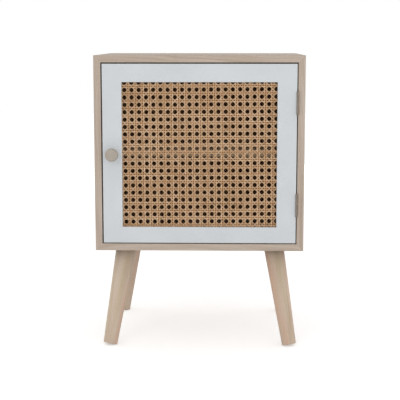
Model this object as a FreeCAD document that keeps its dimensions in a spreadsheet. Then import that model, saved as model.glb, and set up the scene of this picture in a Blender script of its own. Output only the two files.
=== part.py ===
import FreeCAD, Part
import os
import re

import Sketcher

# Storage side table: a mitred box with one shelf, a framed door with a cane panel on two butt
# hinges, a turned knob, a magnetic catch, and four splayed legs on angled plates.
# Millimetres. +Z is up, the door faces -Y, and the origin is on the floor under the middle.

doc = FreeCAD.newDocument("SideTable")
sheet = doc.addObject("Spreadsheet::Sheet", "Sizes")

SIZES = (
    # the box
    ("cabinet_width", 360),
    ("cabinet_depth", 300),
    ("cabinet_height", 336),
    ("floor_clearance", 174),
    ("board_thickness", 12),
    ("board_chamfer", 0.5),
    ("back_thickness", 3),
    ("back_setback", 1),
    ("rebate_width", 6),
    ("fit_clearance", 0.1),
    # splines in the mitres
    ("spline_thickness", 3),
    ("spline_width", 8),
    ("spline_inset", 30),
    # the shelf, let into the sides
    ("shelf_thickness", 12),
    ("shelf_rise", 150),
    ("shelf_setback", 20),
    ("shelf_end_gap", 0.5),
    ("shelf_groove_depth", 4),
    # the legs
    ("leg_top_diameter", 35),
    ("leg_foot_diameter", 25),
    ("leg_splay", 12.9),
    ("leg_inset", 48.3),
    ("leg_chamfer", 1),
    ("leg_seat_gap", 0.3),
    ("leg_bolt_diameter", 8),
    ("leg_bolt_depth", 30),
    ("leg_bolt_grip", 5),
    ("plate_size", 60),
    ("plate_thickness", 2),
    ("plate_corner", 8),
    ("plate_boss_diameter", 29),
    ("plate_screw_spacing", 46),
    ("plate_screw_diameter", 3.5),
    ("plate_screw_head_diameter", 7),
    ("plate_screw_head_height", 2.2),
    ("plate_screw_length", 10),
    # the door
    ("door_gap_left", 2.1),
    ("door_gap_top", 2.1),
    ("door_gap_bottom", 1.6),
    ("door_thickness", 12),
    ("door_easing", 1),
    ("stile_width", 33.4),
    ("top_rail_width", 31.2),
    ("bottom_rail_width", 27.8),
    ("lip_thickness", 4.5),
    ("door_rebate_width", 8),
    # the cane panel
    ("cane_thickness", 0.45),
    ("cane_strand_width", 2.5),
    ("cane_pair_gap", 0.7),
    ("cane_pitch_across", 12.35),
    ("cane_pitch_up", 12.63),
    ("cane_shift_across", -4.1),
    ("cane_shift_up", -2.2),
    ("cane_margin", 6.5),
    # the battens behind the cane
    ("batten_clearance", 0.2),
    # the hinges
    ("hinge_length", 40),
    ("hinge_leaf_width", 11),
    ("hinge_leaf_thickness", 0.7),
    ("hinge_leaf_gap", 0.2),
    ("hinge_knuckle_diameter", 4),
    ("hinge_knuckle_gap", 0.25),
    ("hinge_pin_diameter", 2),
    ("hinge_pin_clearance", 0.05),
    ("hinge_pin_end", 0.4),
    ("hinge_end_distance", 66.5),
    ("hinge_screw_diameter", 2.4),
    ("hinge_screw_head_diameter", 4),
    ("hinge_screw_head_height", 0.4),
    ("hinge_screw_length", 9),
    ("hinge_screw_spacing", 24),
    ("hinge_screw_depth", 6.6),
    # the knob
    ("knob_diameter", 22),
    ("knob_neck_diameter", 12),
    ("knob_projection", 20),
    ("knob_rim", 10),
    ("knob_chamfer", 1.2),
    ("knob_screw_diameter", 4),
    ("knob_screw_grip", 10),
    ("knob_screw_head_diameter", 8),
    ("knob_screw_head_height", 2.4),
    # the magnetic catch
    ("catch_inset", 63),
    ("catch_width", 30),
    ("catch_ear", 9),
    ("catch_ear_thickness", 3),
    ("catch_depth", 14),
    ("catch_height", 14),
    ("catch_drop", 8),
    ("catch_slot_width", 22),
    ("catch_slot_depth", 11),
    ("magnet_width", 20),
    ("magnet_depth", 9),
    ("magnet_height", 4),
    ("pole_thickness", 1),
    ("pole_reach", 1),
    ("strike_width", 46),
    ("strike_screw_spacing", 38),
    ("strike_height", 10),
    ("strike_thickness", 1),
    ("strike_gap", 0.3),
    ("catch_screw_diameter", 3),
    ("catch_screw_head_diameter", 5.6),
    ("catch_screw_head_height", 1.8),
    ("catch_screw_length", 10),
)

for row, (name, size) in enumerate(SIZES, start=1):
    sheet.set(f"A{row}", name.replace("_", " "))
    sheet.set(f"B{row}", str(size))
    sheet.setAlias(f"B{row}", name)
doc.recompute()

NAMES = {name for name, size in SIZES}

# Formulas in the sizes' names. The box's own frame has its origin at the middle of the box's
# front bottom edge; the door's own frame has it at the middle of the opening, on the front face.
BOX_Y = "((knob_projection - cabinet_depth) / 2)"
INNER_HALF = "(cabinet_width / 2 - board_thickness)"
INNER_TOP = "(cabinet_height - board_thickness)"
BACK_FRONT = "(cabinet_depth - back_setback - back_thickness)"
SPLINE_LENGTH = "(cabinet_depth - 2 * spline_inset)"
SHELF_UNDER = "(board_thickness + shelf_rise)"
SHELF_DEPTH = f"({BACK_FRONT} - shelf_end_gap - shelf_setback)"
SHELF_HALF_WIDTH = f"({INNER_HALF} + shelf_groove_depth - fit_clearance)"
LEG_X = "(cabinet_width / 2 - leg_inset)"
LEG_Y = "(cabinet_depth / 2 - leg_inset)"
LEG_SEAT_DROP = "(plate_thickness + leg_seat_gap + leg_top_diameter / 2 * sin(leg_splay))"
FOOT_DROP = "((leg_foot_diameter / 2 - leg_chamfer) * sin(leg_splay))"
LEG_LENGTH = f"((floor_clearance - {LEG_SEAT_DROP} - {FOOT_DROP}) / cos(leg_splay))"
LEG_TAPER = f"-atan((leg_top_diameter - leg_foot_diameter) / 2 / ({LEG_LENGTH} - leg_chamfer))"
BOSS_REACH = f"(3 * {LEG_SEAT_DROP})"

HINGE_GAP = "(2 * hinge_leaf_thickness + hinge_leaf_gap)"
HINGE_X = f"({INNER_HALF} - {HINGE_GAP} / 2)"
HINGE_SCREW_HOLE = "(hinge_screw_head_height + hinge_screw_length - hinge_leaf_thickness + fit_clearance)"
KNUCKLE_RADIUS = "(hinge_knuckle_diameter / 2)"
KNUCKLE_LENGTH = "((hinge_length - 2 * hinge_knuckle_gap) / 3)"
DOOR_WIDTH = f"(2 * {INNER_HALF} - door_gap_left - {HINGE_GAP})"
DOOR_HEIGHT = f"({INNER_TOP} - board_thickness - door_gap_top - door_gap_bottom)"
DOOR_X = f"((door_gap_left - {HINGE_GAP}) / 2)"
OPENING_HALF_WIDTH = f"({DOOR_WIDTH} / 2 - stile_width)"
OPENING_HALF_HEIGHT = f"(({DOOR_HEIGHT} - top_rail_width - bottom_rail_width) / 2)"
OPENING_Z = f"(board_thickness + door_gap_bottom + bottom_rail_width + {OPENING_HALF_HEIGHT})"
DOOR_TOP = f"({OPENING_HALF_HEIGHT} + top_rail_width)"
DOOR_BOTTOM = f"(-{OPENING_HALF_HEIGHT} - bottom_rail_width)"
HINGE_Z = {
    "upper": f"(board_thickness + door_gap_bottom + {DOOR_HEIGHT} - hinge_end_distance)",
    "lower": "(board_thickness + door_gap_bottom + hinge_end_distance)",
}
BATTEN_Y = "(lip_thickness + 4 * cane_thickness)"
BATTEN_OUTER_X = f"({OPENING_HALF_WIDTH} + door_rebate_width - batten_clearance)"
BATTEN_OUTER_Z = f"({OPENING_HALF_HEIGHT} + door_rebate_width - batten_clearance)"
KNOB_X = f"(-{DOOR_WIDTH} / 2 + stile_width / 2)"
KNOB_Z = f"(({DOOR_TOP} + {DOOR_BOTTOM}) / 2)"
CATCH_Y = "(door_thickness + strike_thickness + strike_gap + pole_reach)"
CATCH_X = f"(catch_inset - {INNER_HALF})"
CATCH_EAR_X = "(catch_width / 2 + catch_ear / 2)"
STRIKE_Z = f"({INNER_TOP} - catch_drop - {OPENING_Z})"

PLANE_NORMAL = {"XY_Plane": 1, "XZ_Plane": -1, "YZ_Plane": 1}
CORNERS = {"left": -1, "right": 1}
ENDS = {"bottom": -1, "top": 1}
QUARTERS = ((-1, -1), (1, -1), (1, 1), (-1, 1))
MIDDLE = [("0", "0")]
NARROWING = "-45"


def bound(formula):
    """The formula as an expression that reads the sheet."""
    return re.sub(r"[a-z_]+", lambda word: "Sizes." + word[0] if word[0] in NAMES else word[0], formula)


def value(formula):
    return float(sheet.evalExpression(bound(formula)))


def new_body(label, x="0", y="0", z="0", solids=1):
    """An empty body placed by three formulas; a group of loose solids may hold many."""
    body = doc.addObject("PartDesign::Body", label)
    body.Label = label
    body.AllowCompound = solids > 1
    for axis, formula in zip("xyz", (x, y, z)):
        body.setExpression(f"Placement.Base.{axis}", bound(formula))
    return body


def box_body(label, solids=1):
    """A body in the box's own frame."""
    return new_body(label, "0", BOX_Y, "floor_clearance", solids)


def door_body(label, solids=1):
    """A body in the door's own frame."""
    return new_body(label, DOOR_X, BOX_Y, f"floor_clearance + {OPENING_Z}", solids)


def origin_feature(body, role):
    return next(feature for feature in body.Origin.OriginFeatures if feature.Role == role)


def new_sketch(body, plane, name, offset="0"):
    """A sketch on one of the body's origin planes, moved along the plane's own axis."""
    sketch = body.newObject("Sketcher::SketchObject", f"{body.Name}_{name}")
    sketch.AttachmentSupport = [(origin_feature(body, plane), "")]
    sketch.MapMode = "FlatFace"
    sketch.setExpression("AttachmentOffset.Base.z", bound(f"{PLANE_NORMAL[plane]} * ({offset})"))
    return sketch


def hold(sketch, kind, formula, *where):
    """Add one dimension to a sketch and tie it to its formula."""
    number = sketch.addConstraint(Sketcher.Constraint(kind, *where, value(formula)))
    name = f"{kind}{number}"
    sketch.renameConstraint(number, name)
    sketch.setExpression(f"Constraints.{name}", bound(formula))


def draw_polygon(sketch, corners):
    """A closed outline through the corners, each two formulas."""
    points = [FreeCAD.Vector(value(x), value(y), 0) for x, y in corners]
    first = sketch.GeometryCount
    for start, end in zip(points, points[1:] + points[:1]):
        sketch.addGeometry(Part.LineSegment(start, end), False)
    for index, (x, y) in enumerate(corners):
        line, following = first + index, first + (index + 1) % len(corners)
        sketch.addConstraint(Sketcher.Constraint("Coincident", line, 2, following, 1))
        hold(sketch, "DistanceX", x, -1, 1, line, 1)
        hold(sketch, "DistanceY", y, -1, 1, line, 1)


def draw_rectangle(sketch, left, right, low, high):
    draw_polygon(sketch, ((left, low), (right, low), (right, high), (left, high)))


def draw_circles(sketch, centres, diameter):
    for x, y in centres:
        centre = FreeCAD.Vector(value(x), value(y), 0)
        circle = sketch.addGeometry(Part.Circle(centre, FreeCAD.Vector(0, 0, 1), value(diameter) / 2), False)
        hold(sketch, "DistanceX", x, -1, 1, circle, 3)
        hold(sketch, "DistanceY", y, -1, 1, circle, 3)
        hold(sketch, "Radius", f"({diameter}) / 2", circle)


def draw_hexagons(sketch, centres, width):
    """Six-sided outlines, given across their flats, for small fasteners and the holes they sit in."""
    reach = f"({width}) / sqrt(3)"
    for x, y in centres:
        draw_polygon(sketch, [(f"{x} + {reach} * cos({turn})", f"{y} + {reach} * sin({turn})")
                              for turn in range(0, 360, 60)])


def sketch_plane(sketch):
    return sketch.AttachmentSupport[0][0].Role


def extrude(body, kind, sketch, length, towards, taper):
    """A pad or pocket; towards is +1 or -1 along the plane's axis, or 0 for both ways."""
    feature = body.newObject(f"PartDesign::{kind}", f"{sketch.Name}_{kind}")
    feature.Profile = sketch
    feature.setExpression("Length", bound(length))
    feature.SideType = "One side" if towards else "Symmetric"
    along_normal = towards == PLANE_NORMAL[sketch_plane(sketch)]
    feature.Reversed = towards != 0 and along_normal == (kind == "Pocket")
    feature.setExpression("TaperAngle", bound(taper))
    doc.recompute()
    return feature


def pad(body, sketch, length, towards=1, taper="0"):
    return extrude(body, "Pad", sketch, length, towards, taper)


def pocket(body, sketch, length, towards=1):
    before = body.Shape.Volume
    feature = extrude(body, "Pocket", sketch, length, towards, "0")
    if body.Shape.Volume >= before:
        raise ValueError(f"{feature.Name} cuts nothing")


def revolve(body, sketch):
    feature = body.newObject("PartDesign::Revolution", f"{sketch.Name}_Revolution")
    feature.Profile = sketch
    feature.ReferenceAxis = (sketch, ["V_Axis"])
    feature.Angle = 360
    doc.recompute()


def mirror_to_quarters(body):
    """Mirror all that the body holds to its other three quarters."""
    for plane in ("YZ_Plane", "XZ_Plane"):
        feature = body.newObject("PartDesign::Mirrored", f"{body.Name}_{plane}_Mirrored")
        feature.TransformMode = "Whole shape"
        feature.MirrorPlane = (origin_feature(body, plane), [""])
        body.Tip = feature
        doc.recompute()


def repeat(body, originals, axis, pitch, count):
    feature = body.newObject("PartDesign::LinearPattern", f"{body.Name}_Pattern")
    feature.Originals = originals
    feature.Direction = (origin_feature(body, axis), [""])
    feature.setExpression("Length", bound(f"{pitch} * ({count} - 1)"))
    feature.setExpression("Occurrences", bound(count))
    body.Tip = feature
    doc.recompute()


def dress(body, kind, size, chosen):
    """Round or chamfer the edges that the test picks, given in the body's own frame."""
    doc.recompute()
    base = body.Tip
    edges = [f"Edge{number}" for number, edge in enumerate(base.Shape.Edges, start=1)
             if chosen(edge.BoundBox)]
    feature = body.newObject(f"PartDesign::{kind}", f"{body.Name}_{kind}")
    feature.Base = (base, edges)
    feature.setExpression({"Fillet": "Radius", "Chamfer": "Size"}[kind], bound(size))
    doc.recompute()


def near(a, b):
    return abs(a - b) < 1e-4


def add_screws(body, plane, seat, centres, towards, sizes):
    """Screws from the face that their heads sit on."""
    shank, length, head, head_height = sizes
    shanks = new_sketch(body, plane, "shanks", seat)
    draw_hexagons(shanks, centres, shank)
    pad(body, shanks, length, towards)
    heads = new_sketch(body, plane, "heads", seat)
    draw_hexagons(heads, centres, head)
    pad(body, heads, head_height, -towards)


# ---- places that more than one piece shares ----

def plate_screw_centres(quarters, middle):
    """Screws through the leg plates in these quarters, with the box's middle at this depth."""
    return [(f"{sx} * {LEG_X} + {ax} * plate_screw_spacing / 2",
             f"{middle} + {sy} * {LEG_Y} + {ay} * plate_screw_spacing / 2")
            for sx, sy in quarters for ax in (-1, 1) for ay in (-1, 1)]


def hinge_screw_centres():
    """Depth and height of the screws in one row of leaves, in the box's frame."""
    return [("hinge_screw_depth", f"{z} + {step} * hinge_screw_spacing / 2")
            for z in HINGE_Z.values() for step in (-1, 1)]


def catch_screw_centres():
    """Places of the screws through the catch's ears, in the box's frame."""
    return [(f"{CATCH_X} + {side} * {CATCH_EAR_X}", f"{CATCH_Y} + catch_depth / 2") for side in (-1, 1)]


def strike_screw_centres():
    """Places of the screws through the strike plate, in the door's frame."""
    return [(f"{CATCH_X} - {DOOR_X} + {side} * strike_screw_spacing / 2", STRIKE_Z) for side in (-1, 1)]


def mitre_slot(sx, sz, clearance):
    """The section of a spline across one mitre, or of the slot that holds it."""
    x = f"{sx} * (cabinet_width / 2 - board_thickness / 2)"
    z = f"(cabinet_height / 2 + {sz} * (cabinet_height / 2 - board_thickness / 2))"
    along = f"((spline_width / 2 + {clearance}) * sqrt(0.5))"
    across = f"((spline_thickness / 2 + {clearance}) * sqrt(0.5))"
    return [(f"{x} + {sx} * ({a} * {along} + {b} * {across})",
             f"{z} + {sz} * ({b} * {across} - {a} * {along})")
            for a, b in ((1, 1), (1, -1), (-1, -1), (-1, 1))]


# ---- the box ----

def add_board(label, outline, corners):
    """One board of the box: mitred ends, the rebate for the back and the spline slots."""
    body = box_body(label)
    section = new_sketch(body, "XZ_Plane", "section")
    draw_polygon(section, outline)
    pad(body, section, "cabinet_depth")
    depth = value("cabinet_depth")
    dress(body, "Chamfer", "board_chamfer", lambda box: near(box.YMin, box.YMax)
          and (near(box.YMin, 0) or near(box.YMin, depth)) and not near(box.XLength, box.ZLength))
    rebate = new_sketch(body, "XZ_Plane", "rebate", "cabinet_depth")
    draw_rectangle(rebate, f"-{INNER_HALF} - rebate_width", f"{INNER_HALF} + rebate_width",
                   "board_thickness - rebate_width", f"{INNER_TOP} + rebate_width")
    pocket(body, rebate, "back_thickness + back_setback", towards=-1)
    slots = new_sketch(body, "XZ_Plane", "slots", "spline_inset - fit_clearance")
    for corner in corners:
        draw_polygon(slots, mitre_slot(*corner, "fit_clearance"))
    pocket(body, slots, f"{SPLINE_LENGTH} + 2 * fit_clearance")
    return body


def add_top_panel():
    body = add_board("top_panel", (
        ("-cabinet_width / 2", "cabinet_height"), (f"-{INNER_HALF}", INNER_TOP),
        (INNER_HALF, INNER_TOP), ("cabinet_width / 2", "cabinet_height")), ((-1, 1), (1, 1)))
    holes = new_sketch(body, "XY_Plane", "catch_holes", INNER_TOP)
    draw_hexagons(holes, catch_screw_centres(), "catch_screw_diameter + fit_clearance")
    pocket(body, holes, "catch_screw_length - catch_ear_thickness + fit_clearance")


def add_bottom_panel():
    body = add_board("bottom_panel", (
        ("-cabinet_width / 2", "0"), ("cabinet_width / 2", "0"),
        (INNER_HALF, "board_thickness"), (f"-{INNER_HALF}", "board_thickness")), ((-1, -1), (1, -1)))
    holes = new_sketch(body, "XY_Plane", "plate_holes")
    centres = plate_screw_centres(QUARTERS, "cabinet_depth / 2")
    draw_hexagons(holes, centres, "plate_screw_diameter + fit_clearance")
    pocket(body, holes, "plate_screw_length - plate_thickness + fit_clearance")


def add_side_panel(side):
    sx = CORNERS[side]
    body = add_board(f"{side}_side_panel", (
        (f"{sx} * cabinet_width / 2", "0"), (f"{sx} * cabinet_width / 2", "cabinet_height"),
        (f"{sx} * {INNER_HALF}", INNER_TOP), (f"{sx} * {INNER_HALF}", "board_thickness")),
        ((sx, -1), (sx, 1)))
    groove = new_sketch(body, "YZ_Plane", "groove", f"{sx} * {INNER_HALF}")
    draw_rectangle(groove, "shelf_setback - fit_clearance", BACK_FRONT,
                   SHELF_UNDER, f"{SHELF_UNDER} + shelf_thickness + fit_clearance")
    pocket(body, groove, "shelf_groove_depth", towards=sx)
    if side == "right":
        holes = new_sketch(body, "YZ_Plane", "hinge_holes", INNER_HALF)
        draw_hexagons(holes, hinge_screw_centres(), "hinge_screw_diameter + fit_clearance")
        pocket(body, holes, HINGE_SCREW_HOLE)


def add_splines():
    for side, sx in CORNERS.items():
        for end, sz in ENDS.items():
            body = box_body(f"mitre_spline_{end}_{side}")
            section = new_sketch(body, "XZ_Plane", "section", "spline_inset")
            draw_polygon(section, mitre_slot(sx, sz, "0"))
            pad(body, section, SPLINE_LENGTH)


def add_back():
    body = box_body("back_panel")
    outline = new_sketch(body, "XZ_Plane", "outline", BACK_FRONT)
    edge = "(rebate_width - fit_clearance)"
    draw_rectangle(outline, f"-{INNER_HALF} - {edge}", f"{INNER_HALF} + {edge}",
                   f"board_thickness - {edge}", f"{INNER_TOP} + {edge}")
    pad(body, outline, "back_thickness")


def add_shelf():
    body = box_body("shelf")
    outline = new_sketch(body, "XY_Plane", "outline", SHELF_UNDER)
    draw_rectangle(outline, f"-{SHELF_HALF_WIDTH}", SHELF_HALF_WIDTH,
                   "shelf_setback", f"shelf_setback + {SHELF_DEPTH}")
    pad(body, outline, "shelf_thickness")
    front = value("shelf_setback")
    dress(body, "Chamfer", "board_chamfer", lambda box: near(box.YMin, front) and near(box.YMax, front)
          and near(box.ZLength, 0))


# ---- the legs ----

def leg_body(label, solids=4):
    """A body with its origin under the box's middle, for what is the same in its four quarters."""
    return new_body(label, "0", f"{BOX_Y} + cabinet_depth / 2", "floor_clearance", solids)


def leg_sketch(body, name, down="0"):
    """A sketch square to the front left leg's axis, this far down from where the leg is seated."""
    sketch = new_sketch(body, "XY_Plane", name, f"-{LEG_SEAT_DROP} - {down} * cos(leg_splay)")
    lean = FreeCAD.Rotation(FreeCAD.Vector(-1, 1, 0), value("leg_splay"))
    sketch.AttachmentOffset = FreeCAD.Placement(FreeCAD.Vector(), lean)
    sketch.setExpression("AttachmentOffset.Rotation.Angle", bound("leg_splay"))
    outwards = f"{down} * sin(leg_splay) * sqrt(0.5)"
    sketch.setExpression("AttachmentOffset.Base.x", bound(f"-{LEG_X} - {outwards}"))
    sketch.setExpression("AttachmentOffset.Base.y", bound(f"-{LEG_Y} - {outwards}"))
    return sketch


def add_legs():
    body = leg_body("legs")
    top = leg_sketch(body, "top")
    draw_circles(top, MIDDLE, "leg_top_diameter")
    pad(body, top, f"{LEG_LENGTH} - leg_chamfer", towards=-1, taper=LEG_TAPER)
    foot = leg_sketch(body, "foot", f"({LEG_LENGTH} - leg_chamfer)")
    draw_circles(foot, MIDDLE, "leg_foot_diameter")
    pad(body, foot, "leg_chamfer", towards=-1, taper=NARROWING)
    bore = leg_sketch(body, "bore")
    draw_hexagons(bore, MIDDLE, "leg_bolt_diameter + fit_clearance")
    pocket(body, bore, "leg_bolt_depth + fit_clearance", towards=-1)
    mirror_to_quarters(body)


def add_leg_bolts():
    body = leg_body("leg_bolts")
    end = leg_sketch(body, "end", "leg_bolt_depth")
    draw_hexagons(end, MIDDLE, "leg_bolt_diameter")
    pad(body, end, "leg_bolt_depth + leg_bolt_grip")
    mirror_to_quarters(body)


def add_leg_plates():
    """Square plates with cut corners, each with a boss whose face is square to its leg."""
    body = leg_body("leg_plates")
    boss = leg_sketch(body, "boss")
    draw_circles(boss, MIDDLE, "plate_boss_diameter")
    pad(body, boss, BOSS_REACH)
    above = new_sketch(body, "XY_Plane", "above")
    draw_rectangle(above, f"-{LEG_X} - plate_size", f"-{LEG_X} + plate_size",
                   f"-{LEG_Y} - plate_size", f"-{LEG_Y} + plate_size")
    pocket(body, above, BOSS_REACH)
    half, straight = "plate_size / 2", "(plate_size / 2 - plate_corner)"
    outline = new_sketch(body, "XY_Plane", "outline")
    draw_polygon(outline, [(f"-{LEG_X} + {x}", f"-{LEG_Y} + {y}") for x, y in (
        (straight, f"-{half}"), (half, f"-{straight}"), (half, straight), (straight, half),
        (f"-{straight}", half), (f"-{half}", straight), (f"-{half}", f"-{straight}"),
        (f"-{straight}", f"-{half}"))])
    pad(body, outline, "plate_thickness", towards=-1)
    bore = leg_sketch(body, "bore")
    draw_hexagons(bore, MIDDLE, "leg_bolt_diameter + fit_clearance")
    pocket(body, bore, BOSS_REACH)
    holes = new_sketch(body, "XY_Plane", "screw_holes", "-plate_thickness")
    draw_hexagons(holes, plate_screw_centres(QUARTERS[:1], "0"), "plate_screw_diameter + fit_clearance")
    pocket(body, holes, "plate_thickness")
    mirror_to_quarters(body)


def add_leg_plate_screws():
    body = leg_body("leg_plate_screws", solids=16)
    add_screws(body, "XY_Plane", "-plate_thickness", plate_screw_centres(QUARTERS[:1], "0"), 1, (
        "plate_screw_diameter", "plate_screw_length",
        "plate_screw_head_diameter", "plate_screw_head_height"))
    mirror_to_quarters(body)


# ---- the door ----

def add_door_frame():
    body = door_body("door_frame")
    half_width = f"{DOOR_WIDTH} / 2"
    outline = new_sketch(body, "XZ_Plane", "outline")
    draw_rectangle(outline, f"-{half_width}", half_width, DOOR_BOTTOM, DOOR_TOP)
    pad(body, outline, "door_thickness")
    opening = new_sketch(body, "XZ_Plane", "opening")
    draw_rectangle(opening, f"-{OPENING_HALF_WIDTH}", OPENING_HALF_WIDTH,
                   f"-{OPENING_HALF_HEIGHT}", OPENING_HALF_HEIGHT)
    pocket(body, opening, "door_thickness")
    dress(body, "Fillet", "door_easing", lambda box: near(box.YMin, 0) and near(box.YMax, 0))
    rebate = new_sketch(body, "XZ_Plane", "rebate", "lip_thickness")
    reach_x = f"({OPENING_HALF_WIDTH} + door_rebate_width)"
    reach_z = f"({OPENING_HALF_HEIGHT} + door_rebate_width)"
    draw_rectangle(rebate, f"-{reach_x}", reach_x, f"-{reach_z}", reach_z)
    pocket(body, rebate, "door_thickness - lip_thickness")

    knob_hole = new_sketch(body, "XZ_Plane", "knob_hole")
    draw_hexagons(knob_hole, [(KNOB_X, KNOB_Z)], "knob_screw_diameter + fit_clearance")
    pocket(body, knob_hole, "door_thickness")
    hinge_holes = new_sketch(body, "YZ_Plane", "hinge_holes", half_width)
    draw_hexagons(hinge_holes, [(y, f"{z} - {OPENING_Z}") for y, z in hinge_screw_centres()],
                  "hinge_screw_diameter + fit_clearance")
    pocket(body, hinge_holes, HINGE_SCREW_HOLE, towards=-1)
    strike_holes = new_sketch(body, "XZ_Plane", "strike_holes", "door_thickness")
    draw_hexagons(strike_holes, strike_screw_centres(), "catch_screw_diameter + fit_clearance")
    pocket(body, strike_holes, "catch_screw_length - strike_thickness + fit_clearance", towards=-1)


def add_batten(label, outline):
    """One mitred strip that presses the cane against the door's lip."""
    body = door_body(label)
    section = new_sketch(body, "XZ_Plane", "section", BATTEN_Y)
    draw_polygon(section, outline)
    pad(body, section, f"door_thickness - {BATTEN_Y}")


def add_battens():
    for side, sx in CORNERS.items():
        inner, outer = f"{sx} * {OPENING_HALF_WIDTH}", f"{sx} * {BATTEN_OUTER_X}"
        add_batten(f"batten_{side}", (
            (inner, f"-{OPENING_HALF_HEIGHT}"), (outer, f"-{BATTEN_OUTER_Z}"),
            (outer, BATTEN_OUTER_Z), (inner, OPENING_HALF_HEIGHT)))
    for end, sz in ENDS.items():
        inner, outer = f"{sz} * {OPENING_HALF_HEIGHT}", f"{sz} * {BATTEN_OUTER_Z}"
        add_batten(f"batten_{end}", (
            (f"-{OPENING_HALF_WIDTH}", inner), (f"-{BATTEN_OUTER_X}", outer),
            (BATTEN_OUTER_X, outer), (OPENING_HALF_WIDTH, inner)))


# ---- the cane panel ----

PANEL_HALF_WIDTH = f"({OPENING_HALF_WIDTH} + cane_margin)"
PANEL_HALF_HEIGHT = f"({OPENING_HALF_HEIGHT} + cane_margin)"
PAIR_HALF = "(cane_strand_width + cane_pair_gap / 2)"
# a diagonal passes one pitch across for one pitch up
RUN = "(cane_pitch_across / cane_pitch_up)"
DIAGONAL_HALF = f"(cane_strand_width / 2 * sqrt(1 + {RUN} * {RUN}))"


def copies(base, pitch, reach):
    """First place and count of what repeats, half a pitch off the base, within the reach."""
    first = f"ceil((-{reach} - ({base})) / {pitch} - 1 / 2)"
    last = f"floor(({reach} - ({base})) / {pitch} - 1 / 2)"
    return f"({base} + ({first} + 1 / 2) * {pitch})", f"({last} - {first} + 1)"


def cane_layer(number):
    """Front of a layer of strands; the first lies against the door's lip."""
    return f"(lip_thickness + {number} * cane_thickness)"


def add_strand_pairs(label, number, upright):
    """Flat strands in pairs, with a row of holes between each pair and the next."""
    if upright:
        base, pitch, reach = "cane_shift_across", "cane_pitch_across", PANEL_HALF_WIDTH
    else:
        base, pitch, reach = "cane_shift_up", "cane_pitch_up", PANEL_HALF_HEIGHT
    place, count = copies(base, pitch, f"({reach} - {PAIR_HALF})")
    body = door_body(label, solids=2)
    section = new_sketch(body, "XZ_Plane", "section", cane_layer(number))
    for side in (-1, 1):
        inner = f"{place} + {side} * cane_pair_gap / 2"
        outer = f"{place} + {side} * {PAIR_HALF}"
        if upright:
            draw_rectangle(section, inner, outer, f"-{PANEL_HALF_HEIGHT}", PANEL_HALF_HEIGHT)
        else:
            draw_rectangle(section, f"-{PANEL_HALF_WIDTH}", PANEL_HALF_WIDTH, inner, outer)
    pair = pad(body, section, "cane_thickness")
    repeat(body, [pair], "X_Axis" if upright else "Z_Axis", pitch, count)


def add_diagonals(label, number, slope):
    """Flat strands that cross the pairs midway between the holes, trimmed at the panel's sides."""
    reach = f"({PANEL_HALF_WIDTH} + {PANEL_HALF_HEIGHT} * {RUN} - 2 * cane_strand_width)"
    base = f"cane_shift_across - {slope} * cane_shift_up * {RUN}"
    place, count = copies(base, "cane_pitch_across", reach)
    body = door_body(label, solids=2)
    section = new_sketch(body, "XZ_Plane", "section", cane_layer(number))
    shift = f"{slope} * {PANEL_HALF_HEIGHT} * {RUN}"
    draw_polygon(section, (
        (f"{place} - {shift} - {DIAGONAL_HALF}", f"-{PANEL_HALF_HEIGHT}"),
        (f"{place} - {shift} + {DIAGONAL_HALF}", f"-{PANEL_HALF_HEIGHT}"),
        (f"{place} + {shift} + {DIAGONAL_HALF}", PANEL_HALF_HEIGHT),
        (f"{place} + {shift} - {DIAGONAL_HALF}", PANEL_HALF_HEIGHT)))
    strand = pad(body, section, "cane_thickness")
    repeat(body, [strand], "X_Axis", "cane_pitch_across", count)
    trim = new_sketch(body, "XZ_Plane", "trim", cane_layer(number))
    far = f"({PANEL_HALF_WIDTH} + 3 * {PANEL_HALF_HEIGHT} * {RUN})"
    for side in (-1, 1):
        draw_rectangle(trim, f"{side} * {PANEL_HALF_WIDTH}", f"{side} * {far}",
                       f"-{PANEL_HALF_HEIGHT} - cane_margin", f"{PANEL_HALF_HEIGHT} + cane_margin")
    pocket(body, trim, "cane_thickness")


def add_cane():
    add_diagonals("cane_rising_strands", 0, 1)
    add_diagonals("cane_falling_strands", 1, -1)
    add_strand_pairs("cane_upright_strands", 2, upright=True)
    add_strand_pairs("cane_level_strands", 3, upright=False)


# ---- the hinges ----

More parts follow.
